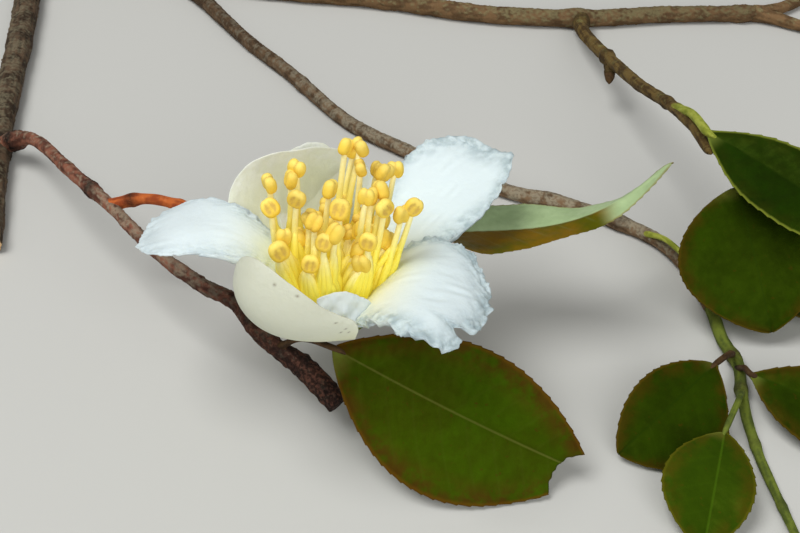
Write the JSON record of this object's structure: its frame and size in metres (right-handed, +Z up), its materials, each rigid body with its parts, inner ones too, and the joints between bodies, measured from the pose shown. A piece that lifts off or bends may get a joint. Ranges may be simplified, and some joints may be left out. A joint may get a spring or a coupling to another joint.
{
  "type": "tea bush flowering branch",
  "caption": "Cut flowering branch of a tea bush, lying level: tapering barked boughs and shoots, leathery leaves, buds and an open white flower with yellow stamens.",
  "frame": {"origin": "on the floor, under the middle of the branch's box", "axes": "+X the branch's longest way, from the cut stem's side towards the leafy shoots; +Y away from the camera, towards the cut end; +Z up from the floor"},
  "size_m": [0.1702, 0.1534, 0.0356],
  "materials": {
    "bark": "rough grey-brown bark with pale lichen",
    "red_bark": "reddish brown bark, rough, with grey-green lichen",
    "orange_shoot": "smooth orange-red young bark",
    "green_shoot": "smooth green young bark",
    "leaf": "leathery, dark green and semi-gloss above, duller beneath",
    "petal": "soft white, slightly translucent",
    "calyx": "satin yellow-green",
    "stamens": "pale yellow filaments with golden anthers"
  },
  "bodies": {
    "root": {"main_stem": "bark", "rear_bough": "bark", "rear_fork_near": "bark", "rear_fork_far": "bark", "rear_side_shoot": "bark", "bud_spur": "green_shoot", "middle_bough": "bark", "lower_shoot": "green_shoot", "flowering_bough": "red_bark", "flowering_shoot": "orange_shoot", "flower_stalk": "green_shoot", "leaf_front": "leaf", "leaf_behind_flower": "leaf", "leaf_upper_right": "leaf", "leaf_right": "leaf", "leaf_middle": "leaf", "leaf_low_left": "leaf", "leaf_low": "leaf", "leaf_low_right": "leaf", "leaf_rear_near": "leaf", "leaf_rear_far": "leaf", "petal_left": "petal", "petal_back_left": "petal", "petal_back": "petal", "petal_right_back": "petal", "petal_front_right": "petal", "petal_front_left": "petal", "calyx": "calyx", "stamens": "stamens"}
  },
  "joints": []
}
